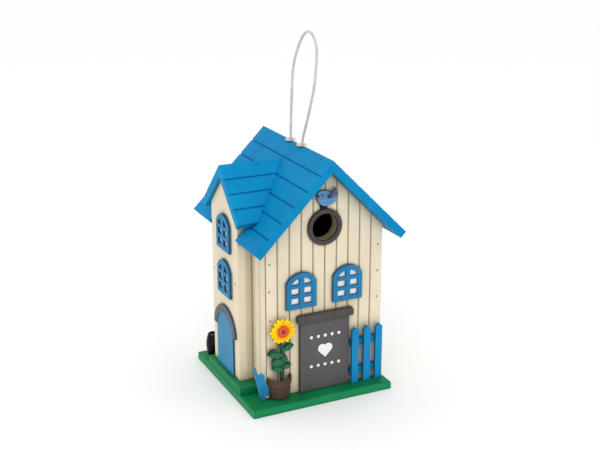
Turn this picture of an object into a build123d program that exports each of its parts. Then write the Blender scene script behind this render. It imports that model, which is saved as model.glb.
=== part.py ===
"""Wooden garden birdhouse: a nest box with a side tower, on a square base board.

Frame: millimetres, +Z up, the front faces -Y, +X is to the right of someone
looking at the front.  The origin is the centre of the base board's underside.
"""

import os
from math import cos, pi, radians, sin, sqrt, tan

from build123d import *

# ---------------------------------------------------------------- driving sizes
BASE = 180.0            # base board, square
BOARD = 9.5             # stock that most boards are sawn from
FRONT = 12.0            # the grooved front board is thicker

HOUSE_W = 150.0         # width over the side walls
HOUSE_X = 11.0          # the house stands right of the middle, to leave room for the tower
FRONT_Y = -67.0         # outer face of the front wall
BACK_Y = 85.5           # outer face of the back wall

RIDGE_Z = 292.0         # top of the main ridge; both roofs slope at 45 degrees
ROOF_L = 135.5          # main roof board, measured down the slope
ROOF_Y0, ROOF_Y1 = -86.5, 104.5
ROOF_ROWS = 6           # boards that the grooves suggest on each main slope

TOWER_Y = 10.7          # middle of the tower and of its gable roof
TOWER_W = 80.0
TOWER_X = -81.5         # outer face of the tower's gable wall
TOWER_RIDGE_Z = 275.0
TOWER_ROOF_L = 79.0
TOWER_ROOF_X = -86.5    # gable end of the tower roof
TOWER_ROWS = 4

PLANKS = 10             # planks that the wall grooves suggest
GROOVE = 1.7            # side of the square that cuts each V groove in a wall
ROOF_GROOVE = 2.0       # and in a roof

HOLE_R = 16.0           # entrance, 32 mm across
HOLE_X, HOLE_Z = 10.0, 210.5

NAIL_HEAD_R = 1.1
NAIL_HEAD_T = 0.4
NAIL_R = 0.8
NAIL_L = 7.0
CLEAR = 0.05            # radial room round nails and screws

PIVOT_Z = 116.0         # screw that the clean-out cover swings on
COVER_T = 5.5
COVER_GAP = 0.2         # between the cover and the back wall

CABLE_D = 3.2           # coated steel cable of the hanger
CABLE_Y = (24.5, -5.8)  # where its two legs go through the ridge

# ------------------------------------------------------------------ worked out
ROOT2 = sqrt(2)
WALL_L = HOUSE_X - HOUSE_W / 2
WALL_R = HOUSE_X + HOUSE_W / 2
BASE_TOP = BOARD
PLINTH_TOP = 2 * BOARD
UNDER_RIDGE = RIDGE_Z - BOARD * ROOT2
EAVE_Z = UNDER_RIDGE - HOUSE_W / 2
UNDER_TOWER_RIDGE = TOWER_RIDGE_Z - BOARD * ROOT2
TOWER_EAVE_Z = UNDER_TOWER_RIDGE - TOWER_W / 2
TOWER_Y0 = TOWER_Y - TOWER_W / 2
TOWER_Y1 = TOWER_Y + TOWER_W / 2

os.makedirs("parts", exist_ok=True)


def save(piece, label):
    """Label a finished piece and write it as parts/<label>.step."""
    piece.label = label
    export_step(piece, f"parts/{label}.step")


def front_plane(y, x=0, z=0):
    """A sketch plane through (x, y, z) that faces the front: its x is the object's x, its y is z."""
    return Plane(origin=(x, y, z), x_dir=(1, 0, 0), z_dir=(0, -1, 0))


def back_plane(y, x=0, z=0):
    """The same plane turned to face the back: its x is the object's -x."""
    return Plane(origin=(x, y, z), x_dir=(-1, 0, 0), z_dir=(0, 1, 0))


def left_plane(x, y=0, z=0):
    """A sketch plane that faces the tower side: its x is the object's -y, its y is z."""
    return Plane(origin=(x, y, z), x_dir=(0, -1, 0), z_dir=(-1, 0, 0))


def gable_outline(middle, width, foot, eave):
    """The five corners of a gable wall whose top slopes at 45 degrees."""
    half = width / 2
    return [
        (middle - half, foot),
        (middle + half, foot),
        (middle + half, eave),
        (middle, eave + half),
        (middle - half, eave),
    ]


def plank_lines(middle):
    """Where the V grooves between the planks of a house wall stand."""
    step = HOUSE_W / PLANKS
    return [middle - HOUSE_W / 2 + step * (i + 1) for i in range(PLANKS - 1)]


def smooth_outline(*points):
    """A smooth closed outline through the points, as a face for the current sketch."""
    with BuildSketch(mode=Mode.PRIVATE) as outline:
        with BuildLine():
            Spline(*points, periodic=True)
        make_face()
    return outline.sketch


# ================================================================= base and plinth
DRAIN_R = 3.0
BASE_EDGE = 1.2

with BuildPart() as base_board:
    with BuildSketch():
        Rectangle(BASE, BASE)
        with Locations((HOUSE_X, (FRONT_Y + BACK_Y) / 2)):
            with GridLocations(90, 90, 2, 2):
                Circle(DRAIN_R, mode=Mode.SUBTRACT)
    extrude(amount=BOARD)
    rim = base_board.faces().sort_by(Axis.Z)[-1].outer_wire().edges()
    chamfer(rim, BASE_EDGE)
save(base_board.part, "base_board")

PLINTH_Y0, PLINTH_Y1 = -46.5, 55.5

with BuildPart() as tower_plinth:
    with BuildSketch(Plane.XY.offset(BASE_TOP)):
        with Locations(((-BASE / 2 + BASE_EDGE + WALL_L) / 2, (PLINTH_Y0 + PLINTH_Y1) / 2)):
            Rectangle(WALL_L + BASE / 2 - BASE_EDGE, PLINTH_Y1 - PLINTH_Y0)
    extrude(amount=BOARD)
    chamfer(tower_plinth.faces().sort_by(Axis.Z)[-1].edges().sort_by(Axis.X)[:-1], 0.8)
save(tower_plinth.part, "tower_plinth")


# ======================================================================= house walls
FRONT_NAILS = [
    (WALL_L + 5.3, 175),
    (WALL_L + 4.6, 142),
    (WALL_L + 5.5, 106.5),
    (WALL_R - 5.5, 179),
    (WALL_R - 5.5, 146),
    (WALL_R - 5.5, 113),
]

with BuildPart() as front_wall:
    with BuildSketch(front_plane(FRONT_Y)):
        with BuildLine():
            Polyline(*gable_outline(HOUSE_X, HOUSE_W, BASE_TOP, EAVE_Z), close=True)
        make_face()
        with Locations((HOLE_X, HOLE_Z)):
            Circle(HOLE_R, mode=Mode.SUBTRACT)
    extrude(amount=-FRONT)
    with BuildSketch(Plane.XY.offset(BASE_TOP)):
        with Locations(*[(x, FRONT_Y) for x in plank_lines(HOUSE_X)]):
            Rectangle(GROOVE, GROOVE, rotation=45)
    extrude(amount=RIDGE_Z, mode=Mode.SUBTRACT)
    with BuildSketch(front_plane(FRONT_Y)):
        with Locations(*FRONT_NAILS):
            Circle(NAIL_R + CLEAR)
    extrude(amount=-NAIL_L, mode=Mode.SUBTRACT)
save(front_wall.part, "front_wall")

# The clean-out opening in the back wall, and the holes for what the cover needs.
CLEANOUT_R = 28.0
CLEANOUT_Z = 68.0
COVER_W = 72.0
COVER_Z0, COVER_Z1 = 30.0, 130.0
SCREW_R = 2.0
PEG_R = 2.5
PEG_L = 5.0
COVER_SWING = 120.0
PEG_REACH = COVER_W / 2 + PEG_R + 0.1
PEG_DOWN = 60.0          # from the pivot, along the cover's edge, to where it meets a peg
CLOSED_PEG_Z = 45.0

# One peg beside the closed cover, and one that its far edge meets when it is open.
closed_peg = (HOUSE_X - PEG_REACH, CLOSED_PEG_Z)
open_dir = radians(COVER_SWING)
open_peg = (
    HOUSE_X + PEG_DOWN * sin(open_dir) + PEG_REACH * cos(open_dir),
    PIVOT_Z - PEG_DOWN * cos(open_dir) + PEG_REACH * sin(open_dir),
)
PEGS = [closed_peg, open_peg]
# The nails stand outside the circle that the cover's corners sweep.
BACK_NAILS = [(x, z) for x in (WALL_L + BOARD / 2, WALL_R - BOARD / 2) for z in (24, 46, 190)]

with BuildPart() as back_wall:
    with BuildSketch(front_plane(BACK_Y)):
        with BuildLine():
            Polyline(*gable_outline(HOUSE_X, HOUSE_W, BASE_TOP, EAVE_Z), close=True)
        make_face()
        with Locations((HOUSE_X, CLEANOUT_Z)):
            Circle(CLEANOUT_R, mode=Mode.SUBTRACT)
        with Locations((HOUSE_X, PIVOT_Z)):
            Circle(SCREW_R + CLEAR, mode=Mode.SUBTRACT)
    extrude(amount=BOARD)
    with BuildSketch(Plane.XY.offset(BASE_TOP)):
        with Locations(*[(x, BACK_Y) for x in plank_lines(HOUSE_X)]):
            Rectangle(GROOVE, GROOVE, rotation=45)
    extrude(amount=RIDGE_Z, mode=Mode.SUBTRACT)
    with BuildSketch(front_plane(BACK_Y)):
        with Locations(*BACK_NAILS):
            Circle(NAIL_R + CLEAR)
    extrude(amount=NAIL_L, mode=Mode.SUBTRACT)
    with BuildSketch(front_plane(BACK_Y)):
        with Locations(*PEGS):
            Circle(PEG_R + CLEAR)
    extrude(amount=PEG_L, mode=Mode.SUBTRACT)
save(back_wall.part, "back_wall")


SIDE_GROOVE_Y = -49.7    # the first groove; the others follow at a plank's width


def side_wall(outer, inner, label):
    """A side wall between the front and back walls, its top edge cut to the roof's slope."""
    near = EAVE_Z + abs(inner - outer)
    pitch = HOUSE_W / PLANKS
    count = int((BACK_Y - BOARD - SIDE_GROOVE_Y) / pitch) + 1
    with BuildPart() as wall:
        with BuildSketch(front_plane(FRONT_Y + FRONT)):
            with BuildLine():
                Polyline((outer, BASE_TOP), (inner, BASE_TOP), (inner, near), (outer, EAVE_Z), close=True)
            make_face()
        extrude(amount=-(BACK_Y - BOARD - FRONT_Y - FRONT))
        with BuildSketch(Plane.XY.offset(BASE_TOP)):
            with Locations(*[(outer, SIDE_GROOVE_Y + pitch * i) for i in range(count)]):
                Rectangle(GROOVE, GROOVE, rotation=45)
        extrude(amount=RIDGE_Z, mode=Mode.SUBTRACT)
    save(wall.part, label)


side_wall(WALL_L, WALL_L + BOARD, "left_wall")
side_wall(WALL_R, WALL_R - BOARD, "right_wall")


# ============================================================================ tower
TOWER_NAILS = [
    (-(TOWER_Y1 - BOARD / 2), 138),
    (-(TOWER_Y0 + 8.5), 140),
]

with BuildPart() as tower_gable_wall:
    with BuildSketch(left_plane(TOWER_X)):
        with BuildLine():
            Polyline(*gable_outline(-TOWER_Y, TOWER_W, PLINTH_TOP, TOWER_EAVE_Z), close=True)
        make_face()
    extrude(amount=-BOARD)
    with BuildSketch(left_plane(TOWER_X)):
        with Locations(*TOWER_NAILS):
            Circle(NAIL_R + CLEAR)
    extrude(amount=-NAIL_L, mode=Mode.SUBTRACT)
save(tower_gable_wall.part, "tower_gable_wall")

CHEEK_X = TOWER_X + BOARD
MAIN_SLOPE_AT_WALL = RIDGE_Z - (HOUSE_X - WALL_L)


def tower_cheek(outer, inner, label):
    """A strip that closes one side of the tower, up to its roof and onto the main roof.

    outer and inner are the y of its two faces; its top is cut to the tower roof's slope.
    """
    inner_top = TOWER_EAVE_Z + BOARD
    with BuildPart() as cheek:
        with BuildSketch(front_plane(min(outer, inner))):
            with BuildLine():
                Polyline(
                    (CHEEK_X, PLINTH_TOP),
                    (WALL_L, PLINTH_TOP),
                    (WALL_L, MAIN_SLOPE_AT_WALL),
                    (WALL_L + inner_top - MAIN_SLOPE_AT_WALL, inner_top),
                    (CHEEK_X, inner_top),
                    close=True,
                )
            make_face()
        extrude(amount=-BOARD)
        with BuildSketch(left_plane(CHEEK_X)):
            with BuildLine():
                Polyline((-outer, TOWER_EAVE_Z), (-outer, inner_top), (-inner, inner_top), close=True)
            make_face()
        extrude(amount=-(HOUSE_X - CHEEK_X), mode=Mode.SUBTRACT)
    save(cheek.part, label)


tower_cheek(TOWER_Y0, TOWER_Y0 + BOARD, "tower_cheek_front")
tower_cheek(TOWER_Y1, TOWER_Y1 - BOARD, "tower_cheek_rear")


# ============================================================================= roofs
WASHER_R = 6.1
WASHER_T = 1.5
WASHER_Z = RIDGE_Z - 0.3     # the ridge is planed flat under it
CABLE_HOLE_R = 2.5
SEAT_R = WASHER_R + 0.4
NOTCH_GAP = 0.4


def slope_board(side, start, length):
    """The section of a roof board that runs down one side of a 45 degree ridge at the origin.

    side is -1 for left and 1 for right, start is the distance from the ridge down the slope.
    """
    a = start / ROOT2
    b = length / ROOT2
    t = BOARD / ROOT2
    return [(side * a, -a), (side * b, -b), (side * (b - t), -b - t), (side * (a - t), -a - t)]


def groove_spots(side, length, rows):
    """Where the grooves between rows of boards cross that section."""
    step = length / rows / ROOT2
    return [(side * step * (i + 1), -step * (i + 1)) for i in range(rows - 1)]


# Nails through the left board, as (-y, -distance down the slope): most hold its top edge.
MAIN_ROOF_NAILS = [(-y, -BOARD / 2) for y in (-62, -23, 45, 85)] + [(59.7, -82.6)]

# The outer faces of the left slope and of the tower roof's front slope, as sketch planes.
main_slope = Plane(origin=(HOUSE_X, 0, RIDGE_Z), x_dir=(0, -1, 0), z_dir=(-1, 0, 1))
tower_slope = Plane(origin=(0, TOWER_Y, TOWER_RIDGE_Z), x_dir=(1, 0, 0), z_dir=(0, -1, 1))

with BuildPart() as roof_left:
    with BuildSketch(front_plane(ROOF_Y0, HOUSE_X, RIDGE_Z)):
        with BuildLine():
            Polyline(*slope_board(-1, 0, ROOF_L), close=True)
        make_face()
        with Locations(*groove_spots(-1, ROOF_L, ROOF_ROWS)):
            Rectangle(ROOF_GROOVE, ROOF_GROOVE, mode=Mode.SUBTRACT)
    extrude(amount=-(ROOF_Y1 - ROOF_Y0))
    # The tower stands up through a notch in the eave.
    with BuildSketch(Plane.XY.offset(EAVE_Z - 4 * BOARD)):
        with Locations((WALL_L - 2 * BOARD, TOWER_Y)):
            Rectangle(4 * BOARD, TOWER_W + 2 * NOTCH_GAP)
    extrude(amount=10 * BOARD, mode=Mode.SUBTRACT)
    with BuildSketch(Plane.XY.offset(UNDER_RIDGE - BOARD)):
        with Locations(*[(HOUSE_X, y) for y in CABLE_Y]):
            Circle(CABLE_HOLE_R)
    extrude(amount=3 * BOARD, mode=Mode.SUBTRACT)
    with BuildSketch(Plane.XY.offset(WASHER_Z)):
        with Locations(*[(HOUSE_X, y) for y in CABLE_Y]):
            Circle(SEAT_R)
    extrude(amount=BOARD, mode=Mode.SUBTRACT)
    with BuildSketch(main_slope):
        with Locations(*MAIN_ROOF_NAILS):
            Circle(NAIL_R + CLEAR)
    extrude(amount=-NAIL_L, mode=Mode.SUBTRACT)
save(roof_left.part, "roof_left")

with BuildPart() as roof_right:
    with BuildSketch(front_plane(ROOF_Y0, HOUSE_X, RIDGE_Z)):
        with BuildLine():
            Polyline(*slope_board(1, BOARD, ROOF_L), close=True)
        make_face()
        with Locations(*groove_spots(1, ROOF_L, ROOF_ROWS)):
            Rectangle(ROOF_GROOVE, ROOF_GROOVE, mode=Mode.SUBTRACT)
    extrude(amount=-(ROOF_Y1 - ROOF_Y0))
    with BuildSketch(Plane.XY.offset(UNDER_RIDGE - BOARD)):
        with Locations(*[(HOUSE_X, y) for y in CABLE_Y]):
            Circle(CABLE_HOLE_R)
    extrude(amount=3 * BOARD, mode=Mode.SUBTRACT)
save(roof_right.part, "roof_right")

# The tower roof dies into the main slope: its boards are cut on that slope's top face.
TOWER_ROOF_NAILS = [(-68, -BOARD / 2), (-41, -BOARD / 2), (-31, -23.5), (-71.7, -30.5)]


def tower_roof_board(side, start, label, nail_spots=()):
    """One slope of the tower roof; side 1 is towards the front (left_plane's x is -y)."""
    with BuildPart() as board:
        with BuildSketch(left_plane(TOWER_ROOF_X, TOWER_Y, TOWER_RIDGE_Z)):
            with BuildLine():
                Polyline(*slope_board(side, start, TOWER_ROOF_L), close=True)
            make_face()
            with Locations(*groove_spots(side, TOWER_ROOF_L, TOWER_ROWS)):
                Rectangle(ROOF_GROOVE, ROOF_GROOVE, mode=Mode.SUBTRACT)
        extrude(amount=-(HOUSE_X - TOWER_ROOF_X))
        split(bisect_by=main_slope, keep=Keep.TOP)
        if nail_spots:
            with BuildSketch(tower_slope):
                with Locations(*nail_spots):
                    Circle(NAIL_R + CLEAR)
            extrude(amount=-NAIL_L, mode=Mode.SUBTRACT)
    save(board.part, label)


tower_roof_board(1, 0, "tower_roof_front", TOWER_ROOF_NAILS)
tower_roof_board(-1, BOARD, "tower_roof_rear")


# ============================================================================= nails
def nails(plane, spots, label):
    """Domed nail heads with the part of the shank that is in the outer board."""
    with BuildPart() as group:
        with BuildSketch(plane):
            with Locations(*spots):
                Circle(NAIL_R)
        extrude(amount=-(NAIL_L - 0.2))
        with BuildSketch(plane):
            with Locations(*spots):
                Circle(NAIL_HEAD_R)
        extrude(amount=NAIL_HEAD_T, taper=20)
    save(group.part, label)


nails(front_plane(FRONT_Y), FRONT_NAILS, "front_wall_nails")
nails(back_plane(BACK_Y), [(-x, z) for x, z in BACK_NAILS], "back_wall_nails")
nails(left_plane(TOWER_X), TOWER_NAILS, "tower_wall_nails")
nails(main_slope, MAIN_ROOF_NAILS, "main_roof_nails")
nails(tower_slope, TOWER_ROOF_NAILS, "tower_roof_nails")


# ===================================================================== entrance ring
RING_R = 21.5
RING_T = 3.0

with BuildPart() as entrance_ring:
    with BuildSketch(front_plane(FRONT_Y)):
        with Locations((HOLE_X, HOLE_Z)):
            Circle(RING_R)
            Circle(HOLE_R, mode=Mode.SUBTRACT)
    extrude(amount=RING_T)
    fillet(entrance_ring.faces().sort_by(Axis.Y)[0].edges(), 0.9)
save(entrance_ring.part, "entrance_ring")


# =========================================================== bird over the entrance
BIRD_T = 3.5
FEET_T = 3.0
WING_T = 1.5

bird_outline = smooth_outline(
    (-1.6, 247.8),
    (0.4, 242.4),
    (3.8, 238.2),
    (8.0, 236.0),
    (13.0, 236.0),
    (18.0, 237.3),
    (22.4, 240.0),
    (25.2, 243.4),
    (24.9, 246.6),
    (21.0, 249.2),
    (15.7, 251.7),
    (10.6, 253.6),
    (5.8, 254.3),
    (1.6, 253.4),
    (-0.9, 251.0),
)

with BuildPart() as bird_body:
    with BuildSketch(front_plane(FRONT_Y)):
        add(bird_outline)
    extrude(amount=BIRD_T)
    fillet(bird_body.faces().sort_by(Axis.Y)[0].edges(), 0.6)
save(bird_body.part, "bird_body")

with BuildPart() as bird_wing:
    with BuildSketch(front_plane(FRONT_Y - BIRD_T)):
        with BuildLine():
            root, tip, rear = (11.8, 246.4), (19.9, 257.5), (23.2, 248.8)
            Spline(root, (15.4, 249.6), (18.1, 252.7), tip)
            Spline(tip, (22.4, 253.8), rear)
            Spline(rear, (19.4, 246.6), (14.8, 245.2), root)
        make_face()
    extrude(amount=WING_T)
save(bird_wing.part, "bird_wing")

with BuildPart() as bird_beak_and_eye:
    with BuildSketch(front_plane(FRONT_Y - BIRD_T)):
        with Locations((-0.1, 248.4)):
            Circle(1.4)
        with Locations((5.4, 249.4)):
            Circle(0.9)
    extrude(amount=0.6, taper=15)
save(bird_beak_and_eye.part, "bird_beak_and_eye")

# The feet are one dark block between the body and the ring.
with BuildPart() as bird_feet:
    with BuildSketch(front_plane(FRONT_Y)):
        with BuildLine():
            Polyline((4.0, 239), (11.6, 237), (12.3, 234.2), (9.4, 230), (5.4, 230), (4.4, 234.1), close=True)
        make_face()
        add(bird_outline, mode=Mode.SUBTRACT)
        with Locations((HOLE_X, HOLE_Z)):
            Circle(RING_R + CLEAR, mode=Mode.SUBTRACT)
    extrude(amount=FEET_T)
save(bird_feet.part, "bird_feet")


# =========================================================================== windows
WIN_W = 38.0
WIN_SIDE = 32.2          # foot to where the arched top starts
WIN_RISE = 11.3          # rise of the arched top
WIN_BORDER = 5.8
WIN_MULLION = 5.8        # upright bar
WIN_BAR = 4.3            # cross bars
WIN_ROW = 7.7            # height of the two lower rows of panes
PANE_T = 0.8
FRAME_T = 3.0


def arched(width, side, rise, border=0.0):
    """An arch-topped outline, its foot's middle at the origin, drawn in by border all round."""
    half = width / 2
    arc_r = (half**2 + rise**2) / (2 * rise) - border
    arc_top = side + rise - border
    half = half - border
    shoulder = arc_top - arc_r + sqrt(arc_r**2 - half**2)
    with BuildSketch(mode=Mode.PRIVATE) as outline:
        with BuildLine():
            Polyline((-half, shoulder), (-half, border), (half, border), (half, shoulder))
            ThreePointArc((half, shoulder), (0, arc_top), (-half, shoulder))
        make_face()
    return outline.sketch


def window(plane, label):
    """An arched frame with two columns and three rows of panes, over a thin white backing."""
    with BuildPart() as backing:
        with BuildSketch(plane):
            add(arched(WIN_W, WIN_SIDE, WIN_RISE, 1.0))
        extrude(amount=PANE_T)
    save(backing.part, f"{label}_panes")
    first_bar = WIN_BORDER + WIN_ROW + WIN_BAR / 2
    bars = [
        (0, WIN_SIDE, WIN_MULLION, 2 * WIN_W),
        (0, first_bar, WIN_W, WIN_BAR),
        (0, first_bar + WIN_ROW + WIN_BAR, WIN_W, WIN_BAR),
    ]
    with BuildPart() as frame:
        with BuildSketch(plane.offset(PANE_T)):
            add(arched(WIN_W, WIN_SIDE, WIN_RISE))
            with BuildSketch(mode=Mode.PRIVATE) as openings:
                add(arched(WIN_W, WIN_SIDE, WIN_RISE, WIN_BORDER))
                for x, z, w, h in bars:
                    with Locations((x, z)):
                        Rectangle(w, h, mode=Mode.SUBTRACT)
            add(openings.sketch, mode=Mode.SUBTRACT)
        extrude(amount=FRAME_T)
        outer_face = frame.faces().sort_by(Axis(plane.origin, plane.z_dir))[-1]
        chamfer(outer_face.outer_wire().edges(), 0.4)
    save(frame.part, f"{label}_frame")


FRONT_WINDOW_Z = 116.7
UPPER_WINDOW_Z = 173.0
TOWER_FEATURE_Y = 8.4    # the tower's windows and door line up here

window(front_plane(FRONT_Y, HOUSE_X - 31.0, FRONT_WINDOW_Z), "window_left")
window(front_plane(FRONT_Y, HOUSE_X + 28.5, FRONT_WINDOW_Z), "window_right")
window(left_plane(TOWER_X, TOWER_FEATURE_Y, UPPER_WINDOW_Z), "tower_window_upper")
window(left_plane(TOWER_X, TOWER_FEATURE_Y, FRONT_WINDOW_Z), "tower_window_lower")


# ======================================================================== front door
DOOR_W = 64.0
DOOR_T = 4.0
DOOR_TOP = 97.6
HEADER_W = 72.5
HEADER_H = 9.5
HEADER_T = 7.0
HEADER_SHIFT = 0.5       # the header isn't quite centred on the door
DOOR_X = HOUSE_X - 1.0

with BuildPart() as front_door:
    with BuildSketch(front_plane(FRONT_Y)):
        with Locations((DOOR_X, BASE_TOP)):
            Rectangle(DOOR_W, DOOR_TOP - BASE_TOP, align=(Align.CENTER, Align.MIN))
    extrude(amount=DOOR_T)
    chamfer(front_door.faces().sort_by(Axis.Y)[0].edges(), 0.6)
save(front_door.part, "front_door")

with BuildPart() as door_header:
    with BuildSketch(front_plane(FRONT_Y)):
        with Locations((DOOR_X + HEADER_SHIFT, DOOR_TOP)):
            RectangleRounded(HEADER_W, HEADER_H, 2.5, align=(Align.CENTER, Align.MIN))
    extrude(amount=HEADER_T)
    fillet(door_header.faces().sort_by(Axis.Y)[0].edges(), 1.0)
save(door_header.part, "door_header")

# A plain heart with two rows of dots, cut from thin veneer.
MOTIF_Z = 58.0
MOTIF_T = 0.6
with BuildPart() as door_motif:
    with BuildSketch(front_plane(FRONT_Y - DOOR_T)):
        with Locations((DOOR_X, MOTIF_Z)):
            Rectangle(11, 11, rotation=45)
        with Locations(*[(DOOR_X + s * 11 / ROOT2 / 2, MOTIF_Z + 11 / ROOT2 / 2) for s in (-1, 1)]):
            Circle(5.5)
        with Locations(*[(DOOR_X + 9 * i, MOTIF_Z + j) for i in (-2, -1, 0, 1, 2) for j in (-17, 20)]):
            Circle(2.0)
    extrude(amount=MOTIF_T)
save(door_motif.part, "door_motif")


# ============================================================================= fence
PICKET_W = 8.8
PICKET_H = 71.9
PICKET_T = 3.5
PICKET_TIP = 3.4
RAIL_T = 5.0
RAIL_H = 8.0
PICKETS_X = (48.3, 64.2, 80.2)
RAILS_Z = (20.8, 57.4)
RAIL_X0, RAIL_X1 = 43.3, 85.5

with BuildPart() as fence_rails:
    with BuildSketch(front_plane(FRONT_Y)):
        for z in RAILS_Z:
            with Locations((RAIL_X0, z)):
                Rectangle(RAIL_X1 - RAIL_X0, RAIL_H, align=(Align.MIN, Align.MIN))
    extrude(amount=RAIL_T)
save(fence_rails.part, "fence_rails")

with BuildPart() as fence_pickets:
    with BuildSketch(front_plane(FRONT_Y - RAIL_T)):
        with BuildLine():
            foot = PICKETS_X[0] - PICKET_W / 2
            Polyline(
                (foot, BASE_TOP),
                (foot + PICKET_W, BASE_TOP),
                (foot + PICKET_W, BASE_TOP + PICKET_H - PICKET_TIP),
                (foot + PICKET_W / 2, BASE_TOP + PICKET_H),
                (foot, BASE_TOP + PICKET_H - PICKET_TIP),
                close=True,
            )
        picket = make_face()
        for x in PICKETS_X[1:]:
            add(picket.moved(Location((x - PICKETS_X[0], 0, 0))))
    extrude(amount=PICKET_T)
save(fence_pickets.part, "fence_pickets")


# ====================================================================== flower pot
POT_X = -48.4
POT_RIM_R = 15.0
POT_FOOT_R = 11.0
POT_WALL = 2.0
POT_Z1 = 35.8
POT_BAND_Z = 29.0
POT_BAND = 0.8           # how far the rim band stands out

with BuildPart() as flower_pot:
    with BuildSketch(front_plane(FRONT_Y, POT_X)):
        with BuildLine():
            Polyline(
                (0, BASE_TOP),
                (POT_FOOT_R, BASE_TOP),
                (POT_RIM_R - POT_BAND, POT_BAND_Z),
                (POT_RIM_R, POT_BAND_Z),
                (POT_RIM_R + 0.3, POT_Z1),
                (POT_RIM_R - POT_WALL, POT_Z1),
                (POT_FOOT_R - POT_WALL, BASE_TOP + POT_WALL),
                (0, BASE_TOP + POT_WALL),
                close=True,
            )
        make_face()
    revolve(axis=Axis((POT_X, FRONT_Y, 0), (0, 0, 1)), revolution_arc=360)
    split(bisect_by=Plane(origin=(0, FRONT_Y, 0), z_dir=(0, -1, 0)), keep=Keep.TOP)
save(flower_pot.part, "flower_pot")


# ======================================================================== sunflower
FLOWER_Y = -70.5         # back of the stem's cut-out
FLOWER_T = 3.0
STEM_W = 4.2
PETAL_T = 1.0            # each of the two layers of petals
HEAD_X, HEAD_Z = -46.3, 94.7
DISC_R = 6.9
DISC_T = 1.4
PETALS = 16              # in each layer
PETAL_LAYERS = [(16.0, 5.6), (13.4, 4.6)]       # how far its petals reach, and their width

LEAVES = [
    [(-46, 70), (-42.3, 74.6), (-38.6, 77.4), (-34.9, 76.9), (-31.7, 74.6), (-35.4, 71.6), (-40.2, 70.2)],
    [(-45.5, 63), (-50.3, 69), (-56, 73.1), (-61.3, 71.2), (-64.4, 66.9), (-62, 65.2), (-57.1, 66), (-51, 64)],
    [(-45.5, 57), (-51.4, 61.4), (-56.6, 60.3), (-59.1, 56.1), (-58.3, 52.4), (-53, 51), (-47, 51)],
    [(-46, 47), (-52, 51.4), (-57.5, 51.6), (-59, 48.7), (-56.8, 45.6), (-52, 44.2), (-47.4, 44.4)],
    [(-46, 63.6), (-42.4, 64.3), (-39.7, 59.5), (-40.3, 55.4), (-45, 53.6)],
    [(-45, 50), (-40.3, 53.3), (-36, 53.2), (-35.5, 50.2), (-38.2, 47.5), (-43, 46.7)],
]


def petal(middle_x, middle_z, length, width, angle):
    """A pointed petal on the current sketch plane, turned by angle."""
    half = length / 2
    with BuildSketch(mode=Mode.PRIVATE) as blade:
        with BuildLine():
            ThreePointArc((-half, 0), (0, width / 2), (half, 0))
            ThreePointArc((half, 0), (0, -width / 2), (-half, 0))
        make_face()
    add(blade.sketch.moved(Location((middle_x, middle_z, 0), (0, 0, angle))))


# The stem and its leaves are one cut-out, which stands on the floor of the pot.
POT_FLOOR_Z = BASE_TOP + POT_WALL
with BuildPart() as sunflower_stem:
    with BuildSketch(front_plane(FLOWER_Y)):
        with BuildLine():
            stem_curve = Spline(
                (-46.2, POT_FLOOR_Z - 1),
                (-46.2, 36),
                (-45.9, 47),
                (-44.8, 56),
                (-45.8, 68),
                (HEAD_X, HEAD_Z - 4),
            )
        trace(stem_curve, line_width=STEM_W)
        for points in LEAVES:
            add(smooth_outline(*points))
    extrude(amount=FLOWER_T)
    split(bisect_by=Plane.XY.offset(POT_FLOOR_Z), keep=Keep.TOP)
save(sunflower_stem.part, "sunflower_stem")

with BuildPart() as sunflower_petals:
    for layer, (tip_r, width) in enumerate(PETAL_LAYERS):
        root_r = DISC_R - 1
        middle = (root_r + tip_r) / 2
        with BuildSketch(front_plane(FLOWER_Y - FLOWER_T - layer * PETAL_T)):
            with Locations((HEAD_X, HEAD_Z)):
                Circle(tip_r - 5)
            for i in range(PETALS):
                turn = 360 / PETALS * (i + layer / 2)
                spot = (HEAD_X + middle * cos(radians(turn)), HEAD_Z + middle * sin(radians(turn)))
                petal(*spot, tip_r - root_r, width, turn)
        extrude(amount=PETAL_T)
save(sunflower_petals.part, "sunflower_petals")

with BuildPart() as sunflower_disc:
    with BuildSketch(front_plane(FLOWER_Y - FLOWER_T - len(PETAL_LAYERS) * PETAL_T)):
        with Locations((HEAD_X, HEAD_Z)):
            Circle(DISC_R)
    extrude(amount=DISC_T)
    fillet(sunflower_disc.faces().sort_by(Axis.Y)[0].edges(), 1.0)
save(sunflower_disc.part, "sunflower_disc")


# ==================================================================== pecking bird
# It is glued to the front wall's left corner and stands head down on the base.
PECK_T = 2.5

with BuildPart() as pecking_bird:
    with BuildSketch(front_plane(FRONT_Y)):
        with BuildLine():
            tail, notch, nape, beak, belly = (-81.8, 53.8), (-73.2, 42.1), (-66.7, 34.4), (-66.4, 9.5), (-68.8, 9.5)
            Polyline(tail, (-78.4, 53.3), (-75.4, 43), notch)
            Spline(notch, (-71.9, 43.5), (-69.6, 43.7), (-67.4, 40.5), nape)
            Spline(nape, (-63.7, 28.6), (-61.3, 19.7), (-62.9, 13.6), beak)
            Line(beak, belly)
            Spline(belly, (-74.1, 19.4), (-75.8, 28.7), (-77.9, 37.5), (-79.4, 46), tail)
        make_face()
    extrude(amount=PECK_T)
save(pecking_bird.part, "pecking_bird")

with BuildPart() as pecking_bird_beak:
    with BuildSketch(front_plane(FRONT_Y - PECK_T)):
        with Locations((-64.5, 13.4)):
            Circle(1.5)
    extrude(amount=0.8, taper=20)
save(pecking_bird_beak.part, "pecking_bird_beak")


# ====================================================================== tower door
TDOOR_Y = 11.0           # the door and its arch stand a little behind the tower's windows
TDOOR_R = 25.0
TDOOR_T = 2.0
TDOOR_ARC_Z = 66.8       # centre of the door's round top
ARCH_R = 33.2
ARCH_T = 3.0
ARCH_Z = 68.0            # centre of the arch's outer edge
ARCH_END_Z = 70.0        # where its two ends are cut off

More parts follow.
